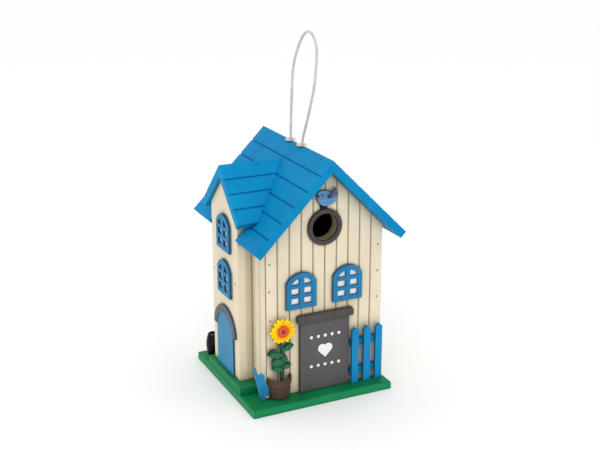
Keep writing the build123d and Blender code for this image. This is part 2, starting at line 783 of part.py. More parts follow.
with BuildPart() as tower_door:
    with BuildSketch(left_plane(TOWER_X, TDOOR_Y, PLINTH_TOP)):
        add(arched(2 * TDOOR_R, TDOOR_ARC_Z - PLINTH_TOP, TDOOR_R))
    extrude(amount=TDOOR_T)
save(tower_door.part, "tower_door")

with BuildPart() as tower_door_arch:
    with BuildSketch(left_plane(TOWER_X, TDOOR_Y, TDOOR_ARC_Z)):
        with Locations((0, ARCH_Z - TDOOR_ARC_Z)):
            Circle(ARCH_R)
        Circle(TDOOR_R + 2 * CLEAR, mode=Mode.SUBTRACT)
        with Locations((0, ARCH_END_Z - TDOOR_ARC_Z)):
            Rectangle(3 * ARCH_R, 2 * ARCH_R, align=(Align.CENTER, Align.MAX), mode=Mode.SUBTRACT)
    extrude(amount=ARCH_T)
    chamfer(tower_door_arch.faces().sort_by(Axis.X)[0].edges(), 0.4)
save(tower_door_arch.part, "tower_door_arch")


# ===================================================================== rain barrel
# Turned in one solid piece, with a shallow recess in its top.
BARREL_X, BARREL_Y = -74.0, 75.0
BARREL_H = 28.5
BARREL_R = 9.6
BARREL_END_R = 6.9
BARREL_LIP = 1.3
BARREL_RECESS = 1.5

with BuildPart() as rain_barrel:
    with BuildSketch(front_plane(BARREL_Y, BARREL_X)):
        with BuildLine():
            top = BASE_TOP + BARREL_H
            ThreePointArc((BARREL_END_R, BASE_TOP), (BARREL_R, BASE_TOP + BARREL_H / 2), (BARREL_END_R, top))
            Polyline(
                (BARREL_END_R, top),
                (BARREL_END_R - BARREL_LIP, top),
                (BARREL_END_R - BARREL_LIP, top - BARREL_RECESS),
                (0, top - BARREL_RECESS),
                (0, BASE_TOP),
                (BARREL_END_R, BASE_TOP),
            )
        make_face()
    revolve(axis=Axis((BARREL_X, BARREL_Y, 0), (0, 0, 1)), revolution_arc=360)
save(rain_barrel.part, "rain_barrel")


# ========================================================================== hanger
# The cable's route, as (y, z) in the plane x = HOUSE_X: up out of the rear ridge hole,
# over the loop, which leans to the front, and down into the front ridge hole.
CABLE_END_Z = 270.0
CABLE_ROUTE = [
    (CABLE_Y[0], CABLE_END_Z),
    (CABLE_Y[0], 303),
    (21.4, 345.3),
    (18.3, 380.1),
    (3.1, 406.2),
    (-9.9, 420.3),
    (-21.8, 426.1),
    (-34.7, 423),
    (-44.7, 409.4),
    (-42.4, 389.2),
    (-38.2, 365.5),
    (-26.4, 337.6),
    (-15.3, 313.9),
    (CABLE_Y[1], 296),
    (CABLE_Y[1], CABLE_END_Z),
]


def bend_radii(points):
    """The largest arcs that the runs allow: 0.45 of the shorter run over tan of half the turn."""
    radii = []
    for before, here, after in zip(points, points[1:], points[2:]):
        run_in = Vector(*here) - Vector(*before)
        run_out = Vector(*after) - Vector(*here)
        turn = radians(run_in.get_angle(run_out))
        radii.append(0.45 * min(run_in.length, run_out.length) / tan(turn / 2))
    return radii


cable_points = [(HOUSE_X, y, z) for y, z in CABLE_ROUTE]
cable_radii = bend_radii(cable_points)
print("hanger cable bend radii:", [round(r, 1) for r in cable_radii])

with BuildPart() as hanger_cable:
    with BuildLine() as cable_line:
        FilletPolyline(*cable_points, radius=cable_radii)
    with BuildSketch(Plane.XY.offset(CABLE_END_Z)):
        with Locations((HOUSE_X, CABLE_Y[0])):
            Circle(CABLE_D / 2)
    sweep(path=cable_line.line)
cable_length = sum(edge.length for edge in cable_line.line.edges())
print("hanger cable length:", round(cable_length, 1))
section = pi * (CABLE_D / 2) ** 2
print("volume over section times length:", round(hanger_cable.part.volume / (cable_length * section), 4))
save(hanger_cable.part, "hanger_cable")

with BuildPart() as hanger_washers:
    with BuildSketch(Plane.XY.offset(WASHER_Z)):
        with Locations(*[(HOUSE_X, y) for y in CABLE_Y]):
            Circle(WASHER_R)
            Circle(CABLE_HOLE_R, mode=Mode.SUBTRACT)
    extrude(amount=WASHER_T)
save(hanger_washers.part, "hanger_washers")

FERRULE_R = 3.2
FERRULE_L = 9.0
with BuildPart() as hanger_ferrules:
    with BuildSketch(Plane.XY.offset(CABLE_END_Z)):
        with Locations(*[(HOUSE_X, y) for y in CABLE_Y]):
            Circle(FERRULE_R)
    extrude(amount=-FERRULE_L)
    fillet(hanger_ferrules.edges().filter_by(GeomType.CIRCLE), 0.6)
save(hanger_ferrules.part, "hanger_ferrules")


# ================================================================= clean-out cover
KNOB_Z = 44.0
COVER_Y = BACK_Y + COVER_GAP

with BuildPart() as cleanout_cover:
    with BuildSketch(back_plane(COVER_Y)):
        with Locations((-HOUSE_X, (COVER_Z0 + COVER_Z1) / 2)):
            RectangleRounded(COVER_W, COVER_Z1 - COVER_Z0, 14)
        with Locations((-HOUSE_X, PIVOT_Z)):
            Circle(SCREW_R + CLEAR, mode=Mode.SUBTRACT)
    extrude(amount=COVER_T)
    chamfer(cleanout_cover.faces().sort_by(Axis.Y)[-1].outer_wire().edges(), 0.8)
save(cleanout_cover.part, "cleanout_cover")

with BuildPart() as cover_knob:
    with BuildSketch(back_plane(COVER_Y + COVER_T)):
        with Locations((-HOUSE_X, KNOB_Z)):
            Circle(4.0)
    extrude(amount=5.0)
    with BuildSketch(back_plane(COVER_Y + COVER_T + 5.0)):
        with Locations((-HOUSE_X, KNOB_Z)):
            Circle(6.5)
    extrude(amount=5.0)
    fillet(cover_knob.faces().sort_by(Axis.Y)[-1].edges(), 2.2)
save(cover_knob.part, "cover_knob")

HEAD_GAP = 0.2
with BuildPart() as pivot_screw:
    with BuildSketch(back_plane(BACK_Y - BOARD)):
        with Locations((-HOUSE_X, PIVOT_Z)):
            Circle(SCREW_R)
    extrude(amount=BOARD + COVER_GAP + COVER_T + HEAD_GAP)
    with BuildSketch(back_plane(COVER_Y + COVER_T + HEAD_GAP)):
        with Locations((-HOUSE_X, PIVOT_Z)):
            Circle(4.5)
    extrude(amount=2.6)
    fillet(pivot_screw.faces().sort_by(Axis.Y)[-1].edges(), 1.6)
    with BuildSketch(back_plane(COVER_Y + COVER_T + HEAD_GAP + 2.6)):
        with Locations((-HOUSE_X, PIVOT_Z)):
            Rectangle(4.4, 0.9)
            Rectangle(0.9, 4.4)
    extrude(amount=-1.2, mode=Mode.SUBTRACT)
save(pivot_screw.part, "pivot_screw")

with BuildPart() as cover_stops:
    with BuildSketch(back_plane(BACK_Y - PEG_L)):
        with Locations(*[(-x, z) for x, z in PEGS]):
            Circle(PEG_R)
    extrude(amount=PEG_L + COVER_GAP + COVER_T + 1.5)
    fillet(cover_stops.faces().sort_by(Axis.Y)[-2:].edges(), 0.8)
save(cover_stops.part, "cover_stops")
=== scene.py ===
"""A painted wooden birdhouse, finished for display: paint, cable, flower and studio.

Metres, +Z up, the front faces -Y.  Sections follow the order of assembly.
"""

from math import cos, pi, radians, sin

import bmesh
import bpy
from mathutils import Matrix, Vector


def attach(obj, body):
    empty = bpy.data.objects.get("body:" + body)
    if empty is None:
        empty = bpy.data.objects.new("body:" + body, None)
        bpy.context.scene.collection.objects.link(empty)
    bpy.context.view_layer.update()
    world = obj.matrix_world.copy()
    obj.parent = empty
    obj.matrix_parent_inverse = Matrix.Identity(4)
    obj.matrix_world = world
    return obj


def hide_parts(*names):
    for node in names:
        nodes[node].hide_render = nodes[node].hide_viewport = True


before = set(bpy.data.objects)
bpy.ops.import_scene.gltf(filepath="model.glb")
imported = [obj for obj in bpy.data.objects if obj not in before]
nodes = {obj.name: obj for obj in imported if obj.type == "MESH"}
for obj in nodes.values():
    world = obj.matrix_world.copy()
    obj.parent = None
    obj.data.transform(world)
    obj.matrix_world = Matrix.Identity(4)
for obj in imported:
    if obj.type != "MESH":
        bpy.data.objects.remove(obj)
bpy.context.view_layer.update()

# ---------------------------------------------------------------------------- camera
# A camera on a stand, front left of the house and a little above its eaves.  It is
# about 1.3 m away, and aimed at the middle of the house and its cable.
VIEW_AZIMUTH = radians(-25.67)
VIEW_ELEVATION = radians(18.19)
VIEW_DISTANCE = 1.287
VIEW_LENS = 64.6
VIEW_SENSOR = 36
LOOK_AT = Vector((0.0115, 0.0, 0.1923))

view_back = Vector((
    sin(VIEW_AZIMUTH) * cos(VIEW_ELEVATION),
    -cos(VIEW_AZIMUTH) * cos(VIEW_ELEVATION),
    sin(VIEW_ELEVATION),
))
camera = bpy.data.objects.new("camera", bpy.data.cameras.new("camera"))
bpy.context.scene.collection.objects.link(camera)
camera.data.lens = VIEW_LENS
camera.data.sensor_width = VIEW_SENSOR
camera.location = LOOK_AT + VIEW_DISTANCE * view_back
camera.rotation_euler = view_back.to_track_quat("Z", "Y").to_euler()
bpy.context.scene.camera = camera


# ---------------------------------------------------------------------- hanger cable
# Steel cable in a grey plastic coat, 3.2 mm thick.  It is stiff enough to stand up in a
# loop of its own, and both ends go down through the ridge into crimped ferrules.
class Socket:
    """An output socket.  Python's operators on it add Math nodes to its material."""

    def __init__(self, finish, output):
        self.finish = finish
        self.output = output

    def maths(self, operation, *values, clamp=False):
        settings = {"operation": operation, "use_clamp": clamp}
        return self.finish.node("ShaderNodeMath", settings, dict(enumerate(values)))

    def __add__(self, other):
        return self.maths("ADD", self, other)

    def __sub__(self, other):
        return self.maths("SUBTRACT", self, other)

    def __mul__(self, other):
        return self.maths("MULTIPLY", self, other)

    def __rsub__(self, other):
        return self.maths("SUBTRACT", other, self)

    __radd__ = __add__
    __rmul__ = __mul__

    def above(self, low, high):
        """0 below low, 1 above high, and a straight ramp between them."""
        return self.maths("MULTIPLY", self - low, 1 / (high - low), clamp=True)

    def size(self):
        """The value without its sign."""
        return self.maths("ABSOLUTE", self)


class Finish:
    """A material under construction: its surface's constants, then what varies over it."""

    def __init__(self, name, **surface):
        self.material = bpy.data.materials.new(name)
        self.material.use_nodes = True
        self.tree = self.material.node_tree
        self.surface = self.tree.nodes["Principled BSDF"]
        for key, value in surface.items():
            socket = key.replace("_", " ").title().replace("Ior", "IOR")
            self.surface.inputs[socket].default_value = value
        self.place = self.node("ShaderNodeTexCoord", out="Object")

    def node(self, kind, settings=None, inputs=None, out=0):
        """Add a node, with its settings and then its sockets' values or links."""
        node = self.tree.nodes.new(kind)
        for key, value in (settings or {}).items():
            setattr(node, key, value)
        for key, value in (inputs or {}).items():
            if isinstance(value, Socket):
                self.tree.links.new(value.output, node.inputs[key])
            else:
                node.inputs[key].default_value = value
        return Socket(self, node.outputs[out])

    def vector(self, operation, first, second=(0, 0, 0), out="Vector"):
        """Vector maths, whose out is Value where the result is one number."""
        inputs = {0: first, 1: second}
        return self.node("ShaderNodeVectorMath", {"operation": operation}, inputs, out)

    def stretch(self, x, y, z):
        """The object's coordinates, scaled along each axis."""
        return self.vector("MULTIPLY", self.place, (x, y, z))

    def along(self, axis):
        """The object's X, Y or Z coordinate."""
        return self.node("ShaderNodeSeparateXYZ", None, {0: self.place}, axis)

    def from_axis(self, x, z, squash=(1, 0, 1)):
        """How far a point is from the line along Y through x and z."""
        apart = self.vector("SUBTRACT", self.place, (x, 0, z))
        return self.vector("LENGTH", self.vector("MULTIPLY", apart, squash), out="Value")

    def openness(self, reach):
        """1 on an open face, and less where other faces are within reach of it."""
        inputs = {"Distance": reach}
        return self.node("ShaderNodeAmbientOcclusion", {"samples": 8}, inputs, "AO")

    def noise(self, where, scale, detail=2.0, rough=0.5):
        """Soft noise from 0 to 1, mostly between 0.3 and 0.7."""
        inputs = {"Vector": where, "Scale": scale, "Detail": detail, "Roughness": rough}
        return self.node("ShaderNodeTexNoise", None, inputs)

    def mix(self, amount, first, second):
        """The first colour, covered by the second where amount is 1."""
        inputs = {0: amount, 6: first, 7: second}
        return self.node("ShaderNodeMix", {"data_type": "RGBA"}, inputs, out=2)

    def feed(self, **values):
        """Link values to the surface's own sockets, such as Base_Color."""
        for key, value in values.items():
            self.tree.links.new(value.output, self.surface.inputs[key.replace("_", " ")])

    def bump(self, height, depth, strength, under=None):
        """Raise the surface by height times depth metres, and feed its Normal."""
        inputs = {"Height": height, "Distance": depth, "Strength": strength}
        if under is not None:
            inputs["Normal"] = under
        self.feed(Normal=self.node("ShaderNodeBump", None, inputs))


def shade(red, green, blue):
    """A paint colour as a paint card's 0 to 255 values, made linear."""
    def linear(c):
        c = c / 255
        return c / 12.92 if c <= 0.04045 else ((c + 0.055) / 1.055) ** 2.4
    return (linear(red), linear(green), linear(blue), 1.0)


def coat(piece, finish):
    """Give every material slot of a piece one finish."""
    if not piece.material_slots:
        piece.data.materials.append(None)
    for slot in piece.material_slots:
        slot.material = finish.material


CABLE_THICK = 0.0032
CABLE_X = 0.011
CABLE_END = 0.270
CABLE_ROUTE = [
    (0.0245, CABLE_END),
    (0.0245, 0.303),
    (0.0214, 0.3453),
    (0.0183, 0.3801),
    (0.0031, 0.4062),
    (-0.0099, 0.4203),
    (-0.0218, 0.4261),
    (-0.0347, 0.4230),
    (-0.0447, 0.4094),
    (-0.0424, 0.3892),
    (-0.0382, 0.3655),
    (-0.0264, 0.3376),
    (-0.0153, 0.3139),
    (-0.0058, 0.296),
    (-0.0058, CABLE_END),
]

cable_curve = bpy.data.curves.new("cable", "CURVE")
cable_curve.dimensions = "3D"
cable_curve.resolution_u = 16
cable_curve.bevel_depth = CABLE_THICK / 2
cable_curve.bevel_resolution = 6
cable_line = cable_curve.splines.new("NURBS")
cable_line.points.add(len(CABLE_ROUTE) - 1)
for point, (y, z) in zip(cable_line.points, CABLE_ROUTE):
    point.co = (CABLE_X, y, z, 1)
cable_line.order_u = 3
cable_line.use_endpoint_u = True
cable = bpy.data.objects.new("cable", cable_curve)
bpy.context.scene.collection.objects.link(cable)

cable_coat = Finish("cable coat", roughness=0.38, coat_weight=0.15, coat_roughness=0.25)
scuffs = cable_coat.noise(cable_coat.place, 90, 2)
cable_coat.feed(
    Base_Color=cable_coat.mix(scuffs.above(0.4, 0.75), shade(204, 200, 193), shade(186, 181, 174)),
    Roughness=scuffs * 0.2 + 0.25,
)
coat(cable, cable_coat)
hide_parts("hanger_cable")
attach(cable, "house")


# ----------------------------------------------------------------- base and plinth
# Softwood boards with eased edges under a satin green exterior paint.  The house is
# screwed down on the base, and the plinth is glued on under the tower.
GRAIN_DRAW = 0.035
FIBRE_SCALE = 950
BRUSH_SCALE = 260
CLOUD_SCALE = 22
SPECK_SCALE = 1400
BRUSH_DEPTH = 0.00022
NOOK_REACH = 0.003
EAVES_REACH = 0.016


def painted_wood(name, colour, grain, worn=None, gloss=0.5, tone=0.10, streak=0.10,
                 ease=0.0005, shadow_tint=None, shadow_amount=0.75, shine=0.12, eaves_shadow=0.0, over=()):
    """Brushed paint over a board.

    grain is x, y or z, streak says how much it shows, and tone how far the colour
    varies.  worn is the colour at rubbed edges, which are eased to a radius of ease.
    dirt is the colour of painted shade in grooves, corners and joins, and grime spreads it as
    painted shadow under eaves and trim.
    Each step of over is a function of the paint and its colour so far.
    """
    paint = Finish(name, specular_ior_level=shine)
    drawn = paint.stretch(*(GRAIN_DRAW if axis == grain else 1.0 for axis in "xyz"))
    fibre = paint.noise(drawn, FIBRE_SCALE, 3, 0.6)
    brush = paint.noise(drawn, BRUSH_SCALE, 2)
    cloud = paint.noise(paint.place, CLOUD_SCALE, 3, 0.6)
    speck = paint.noise(paint.place, SPECK_SCALE, 1)
    darker = tuple(c * (1 - 2 * tone) for c in colour[:3]) + (1,)
    lighter = tuple(min(1, c * (1 + tone) + 0.002) for c in colour[:3]) + (1,)
    if shadow_tint is None:
        shadow_tint = tuple(c * 0.3 for c in colour[:3]) + (1,)
    base = paint.mix(cloud.above(0.36, 0.64), darker, lighter)
    base = paint.mix(fibre.above(0.45, 0.8) * streak, base, darker)
    base = paint.mix(brush.above(0.5, 0.8) * streak, base, lighter)
    for step in over:
        base = step(paint, base)
    eased = paint.node("ShaderNodeBevel", {"samples": 6}, {"Radius": ease})
    if worn is not None:
        flat = paint.node("ShaderNodeNewGeometry", out="Normal")
        facing = paint.vector("DOT_PRODUCT", eased, flat, "Value")
        rubbed = (1 - facing).above(0.01, 0.08) * cloud.above(0.35, 0.6)
        base = paint.mix(rubbed * 0.55, base, worn)
    # Painted shade: darker in grooves, in corners and where parts meet.
    nook_shade = 1 - paint.openness(NOOK_REACH).above(0.45, 0.93)
    base = paint.mix(nook_shade * shadow_amount, base, shadow_tint)
    # Painted shadow: darker under the eaves and trim, out to a wider reach.
    if eaves_shadow:
        eaves = 1 - paint.openness(EAVES_REACH).above(0.35, 0.9)
        base = paint.mix(eaves * eaves_shadow, base, shadow_tint)
    paint.feed(Base_Color=base, Roughness=cloud * 0.12 + brush * 0.10 + (gloss - 0.1))
    paint.bump(fibre * 0.55 + brush * 0.8 + speck * 0.12, BRUSH_DEPTH, 0.55, eased)
    return paint


def sides(facing, colour, amount=1.0):
    """A step of over: the sawn sides of a cut-out whose painted face looks along facing."""
    def step(paint, base):
        normal = paint.node("ShaderNodeNewGeometry", out="Normal")
        square = paint.vector("DOT_PRODUCT", normal, facing, "Value")
        return paint.mix((1 - square.above(0.25, 0.75)) * amount, base, colour)
    return step


TO_FRONT = (0, -1, 0)
TO_LEFT = (-1, 0, 0)
GREEN_WORN = shade(96, 178, 132)
# Its sides are a lighter green than its top: painted light.
base_green = painted_wood("base green", shade(6, 124, 74), "x", GREEN_WORN, 0.45,
                          over=[sides((0, 0, 1), shade(20, 134, 82))])
plinth_green = painted_wood("plinth green", shade(12, 122, 74), "y", GREEN_WORN, 0.45)
coat(nodes["base_board"], base_green)
coat(nodes["tower_plinth"], plinth_green)


# ------------------------------------------------------------------- house and tower
# Walls of cream-painted softwood, milled with V grooves that make each look like
# upright planks, and nailed through the front and back boards.  Painted shade darkens
# the grooves and eaves, and the corners are rubbed to the wood.
HOLE_X, HOLE_Z = 0.010, 0.2105
HOLE_RIM = 0.0172
HOLE_WOOD_AND_SHADE = shade(134, 127, 98)
CORNER_X = -0.064
CORNER_Y = -0.067
CORNER_RAGGED = 0.0010
CORNER_WOOD = shade(116, 92, 62)
CHAMBER = (("X", 0.011, 0.0656), ("Y", 0.0105, 0.0657), ("Z", 0.120, 0.140))
CHAMBER_LINE = 0.0001
CHAMBER_WOOD_AND_SHADE = shade(62, 48, 34)

WALL_PAINT = shade(229, 217, 191)
CHEEK_SHADED_PAINT = shade(208, 197, 168)
WALL_SHADOW_TINT = shade(120, 104, 76)
WALL_WORN = shade(178, 152, 112)


def hole_wall(paint, base):
    """Bare end grain inside the entrance, darkened further as painted shade."""
    painted = paint.from_axis(HOLE_X, HOLE_Z).above(HOLE_RIM - 0.0004, HOLE_RIM)
    return paint.mix(1 - painted, base, HOLE_WOOD_AND_SHADE)


def rubbed_corner(paint, base):
    """A thin line of bare wood down the front board's left corner."""
    ragged = paint.noise(paint.stretch(0, 0, 1), 120, 3) * CORNER_RAGGED
    beyond_x = (paint.along("X") - ragged).above(CORNER_X + 0.0002, CORNER_X + 0.0008)
    beyond_y = (paint.along("Y") - ragged).above(CORNER_Y + 0.0004, CORNER_Y + 0.0012)
    return paint.mix((1 - beyond_x) * (1 - beyond_y) * 0.8, base, CORNER_WOOD)


def bare_inside(paint, base):
    """The nest chamber is left unpainted, in wood coloured dark as painted shade."""
    inside = 1
    for axis, middle, half in CHAMBER:
        off = (paint.along(axis) - middle).size()
        inside = inside * (1 - off.above(half - CHAMBER_LINE, half + CHAMBER_LINE))
    return paint.mix(inside, base, CHAMBER_WOOD_AND_SHADE)


def wall_paint(name, colour, tone, streak, eaves_shadow, over=()):
    """Matte cream paint on an upright board, with painted shade in its grooves and under the
    eaves.
    """
    return painted_wood(name, colour, "z", WALL_WORN, 0.62, tone, streak,
                        shadow_tint=WALL_SHADOW_TINT, shadow_amount=0.9, eaves_shadow=eaves_shadow, over=over)


wall_cream = wall_paint("wall cream", WALL_PAINT, 0.03, 0.25, 0.5, [bare_inside])
front_cream = wall_paint("front cream", WALL_PAINT, 0.03, 0.25, 0.5,
                         [hole_wall, bare_inside, rubbed_corner])
# The tower's cheeks get a darker copy of the wall cream: painted shade in the recess beside the
# house.
shaded_cheek_cream = wall_paint("shaded cheek cream", CHEEK_SHADED_PAINT, 0.06, 0.3, 0.3)
coat(nodes["front_wall"], front_cream)
for part in ("back_wall", "left_wall", "right_wall", "tower_gable_wall",
             "cleanout_cover", "cover_stops"):
    coat(nodes[part], wall_cream)
for part in ("tower_cheek_front", "tower_cheek_rear"):
    coat(nodes[part], shaded_cheek_cream)


# ----------------------------------------------------------------------------- roofs
# Grooved boards in a brighter blue, nailed down on the walls.  The left board laps the
# right one at the ridge, and the tower's front board laps its rear one.
ROOF_WORN = shade(70, 168, 214)
ROOF_SHADOW_TINT = shade(0, 88, 138)


def roof_paint(name, colour, grain):
    """Satin blue paint on a grooved roof board, with painted shade in its grooves."""
    return painted_wood(name, colour, grain, ROOF_WORN, 0.5, 0.05,
                        shadow_tint=ROOF_SHADOW_TINT, shadow_amount=0.85, shine=0.06)


roof_blue = roof_paint("roof blue", shade(2, 132, 186), "y")
tower_roof_blue = roof_paint("tower roof blue", shade(0, 138, 192), "x")
for part in ("roof_left", "roof_right"):
    coat(nodes[part], roof_blue)
for part in ("tower_roof_front", "tower_roof_rear", "cover_knob"):
    coat(nodes[part], tower_roof_blue)


# --------------------------------------------------------------- nails and hardware
# Round-headed galvanised nails, half hidden by paint, and the cover's pivot screw.  The
# cable's washers are dull brass plate, and its crimped ferrules aluminium.
def metal(name, colour, rough, tarnish, metallic=1.0):
    """Bare metal with a patchy tarnish."""
    bare = Finish(name, metallic=metallic)
    patch = bare.noise(bare.place, 700, 3)
    bare.feed(
        Base_Color=bare.mix(patch.above(0.4, 0.7), colour, tarnish),
        Roughness=patch * 0.3 + (rough - 0.15),
    )
    bare.bump(bare.noise(bare.place, 2500, 2), 0.00008, 0.5)
    return bare


nail_steel = metal("nail steel", shade(150, 138, 112), 0.6, shade(120, 104, 78), 0.3)
for part in ("front_wall_nails", "back_wall_nails", "tower_wall_nails"):
    coat(nodes[part], nail_steel)
coat(nodes["pivot_screw"],
     metal("screw steel", shade(176, 172, 164), 0.4, shade(130, 118, 100)))
painted_nail = painted_wood("painted nail", shade(34, 116, 156), "y",
                            shade(110, 112, 96), 0.5, 0.2)
for part in ("main_roof_nails", "tower_roof_nails"):
    coat(nodes[part], painted_nail)
coat(nodes["hanger_washers"],
     metal("washer", shade(236, 214, 198), 0.38, shade(206, 176, 154), 0.7))
coat(nodes["hanger_ferrules"],
     metal("ferrule", shade(190, 190, 188), 0.35, shade(150, 150, 148)))


# ------------------------------------------------------------------ ring and windows
# Thin plywood trim, painted before it is glued on: a taupe ring and arch, and blue
# frames over white backings.  Their sawn sides are darker than their faces, and on the
# window frames that dark navy is also painted shade inside the openings.
# Dark navy sawn sides: paint, and on the window frames also painted shade in the openings.
TRIM_SIDE_AND_SHADE = shade(12, 62, 104)
ring_taupe = painted_wood("ring taupe", shade(74, 66, 66), "x", shade(104, 96, 95),
                          0.5, 0.05, ease=0.0006,
                          over=[sides(TO_FRONT, shade(44, 38, 36))])
coat(nodes["entrance_ring"], ring_taupe)
arch_taupe = painted_wood("arch taupe", shade(104, 100, 99), "z", shade(136, 132, 130),
                          0.5, 0.05, over=[sides(TO_LEFT, shade(40, 92, 132))])
coat(nodes["tower_door_arch"], arch_taupe)

trim_blue = {}
for facing, side in ((TO_FRONT, "front"), (TO_LEFT, "tower")):
    trim_blue[side] = painted_wood(f"{side} trim blue", shade(36, 124, 172), "z",
                                   shade(84, 158, 200), 0.45, 0.06,
                                   over=[sides(facing, TRIM_SIDE_AND_SHADE, 0.85)])
pane_white = painted_wood("pane white", shade(255, 252, 255), "z", None, 0.3, 0.0, 0.02,
                          shadow_amount=0.0, shine=0.6)
for part, side in (("window_left", "front"), ("window_right", "front"),
                   ("tower_window_upper", "tower"), ("tower_window_lower", "tower")):
    coat(nodes[f"{part}_frame"], trim_blue[side])
    coat(nodes[f"{part}_panes"], pane_white)


# --------------------------------------------------------------------- the two doors
# The tower's door is a blue cut-out inside the arch.  The front door is a grey board
# under a darker, round-ended header, with a heart and dots of white veneer.  All are
# thin wood, sawn to shape, painted and glued on.
HEADER_END = 0.0448
door_blue = painted_wood("tower door blue", shade(56, 136, 176), "z",
                         shade(110, 170, 208), 0.45, 0.07, 0.3,
                         over=[sides(TO_LEFT, TRIM_SIDE_AND_SHADE)])
coat(nodes["tower_door"], door_blue)
door_grey = painted_wood("door grey", shade(92, 89, 90), "z", shade(126, 122, 120),
                         0.55, 0.05, 0.2, over=[sides(TO_FRONT, shade(70, 66, 66))])
coat(nodes["front_door"], door_grey)


def end_grain(paint, base):
    """The header's right end, where the sawn grain shows through."""
    end = paint.along("X").above(HEADER_END, HEADER_END + 0.002)
    return paint.mix(end * 0.6, base, shade(150, 142, 132))


header_grey = painted_wood("header grey", shade(82, 78, 75), "x", shade(112, 106, 102),
                           0.55, 0.05, over=[end_grain])
coat(nodes["door_header"], header_grey)
motif_white = painted_wood("motif white", shade(236, 236, 232), "z", None,
                           0.5, 0.02, 0.05)
coat(nodes["door_motif"], motif_white)


# ----------------------------------------------------------------------------- fence
# Three pointed pickets, cut from thin strip and painted in the roof's blue.  They are
# glued across two rails on the front wall, right of the door.
FENCE_SIDE = shade(4, 92, 146)
picket_blue = painted_wood("picket blue", shade(14, 134, 188), "z", ROOF_WORN,
                           0.45, 0.05, 0.25, over=[sides(TO_FRONT, FENCE_SIDE, 0.8)])
coat(nodes["fence_pickets"], picket_blue)
rail_blue = painted_wood("rail blue", shade(8, 122, 176), "x", ROOF_WORN,
                         0.45, 0.05, over=[sides(TO_FRONT, FENCE_SIDE, 0.8)])
coat(nodes["fence_rails"], rail_blue)


# --------------------------------------------------------------- flower and its pot
# A turned half pot, a cut-out stem with leaves that stands in it, and a sunflower of
# two layers of separate petals round a domed disc, all painted by hand.
POT_BAND_Z = 0.029


def pot_band(paint, base):
    """The paint is thin on the lower edge of the pot's rim band."""
    height = paint.along("Z")
    line = height.above(POT_BAND_Z - 0.0003, POT_BAND_Z)
    line = line * (1 - height.above(POT_BAND_Z + 0.0006, POT_BAND_Z + 0.0010))
    return paint.mix(line * 0.7, base, shade(120, 98, 80))


pot_brown = painted_wood("pot brown", shade(80, 63, 48), "x", shade(112, 90, 74),
                         0.6, 0.06, over=[pot_band])
coat(nodes["flower_pot"], pot_brown)
leaf_green = painted_wood("leaf green", shade(30, 84, 58), "z", shade(60, 120, 88),
                          0.5, 0.16, 0.4, over=[sides(TO_FRONT, shade(16, 52, 36))])
coat(nodes["sunflower_stem"], leaf_green)

HEAD_X, HEAD_Z = -0.0463, 0.0947
PETALS = 16
PETAL_ROOT = 0.0052
PETAL_UNEVEN = 0.11
PETAL_SWAY = 0.05
PETAL_CUP = 0.0009
PETAL_BEND = 0.0010
PETAL_STEP = 0.0003
PETAL_THICK = 0.0009
ORANGE_EDGE = (0.0074, 0.0112)
SEED_EDGE = (0.0020, 0.0034)
RIM_EDGE = (0.0060, 0.0067)


def petal_colours(paint, base):
    """Orange at the roots of the petals, and brushed out to yellow at their tips."""
    ragged = paint.noise(paint.place, 420, 3) * 0.004 - 0.002
    yellow = (paint.from_axis(HEAD_X, HEAD_Z) + ragged).above(*ORANGE_EDGE)
    base = paint.mix(1 - yellow, base, shade(255, 140, 0))
    strokes = paint.noise(paint.place, 260, 2).above(0.58, 0.7)
    return paint.mix(strokes * 0.35, base, shade(252, 182, 0))


def disc_colours(paint, base):
    """A dark seed middle, a red-orange dome and a thin purple rim."""
    ragged = paint.noise(paint.place, 500, 3) * 0.0016 - 0.0008
    radius = paint.from_axis(HEAD_X, HEAD_Z) + ragged
    base = paint.mix(1 - radius.above(*SEED_EDGE), base, shade(86, 70, 66))
    return paint.mix(radius.above(*RIM_EDGE), base, shade(128, 62, 92))


def new_piece(name, shaping):
    """A new object with the mesh that shaping has made."""
    mesh = bpy.data.meshes.new(name)
    shaping.to_mesh(mesh)
    shaping.free()
    piece = bpy.data.objects.new(name, mesh)
    bpy.context.scene.collection.objects.link(piece)
    return piece


def blades_to_piece(name, shaping, place, thickness):
    """Turn flat blades to face the front, put them in their place and thicken them."""
    bmesh.ops.remove_doubles(shaping, verts=shaping.verts, dist=0.00001)
    bmesh.ops.rotate(shaping, verts=shaping.verts, cent=(0, 0, 0),
                     matrix=Matrix.Rotation(pi / 2, 3, "X"))
    bmesh.ops.translate(shaping, verts=shaping.verts, vec=place)
    piece = new_piece(name, shaping)
    thick = piece.modifiers.new("thick", "SOLIDIFY")
    thick.thickness = thickness
    thick.offset = -1
    return piece


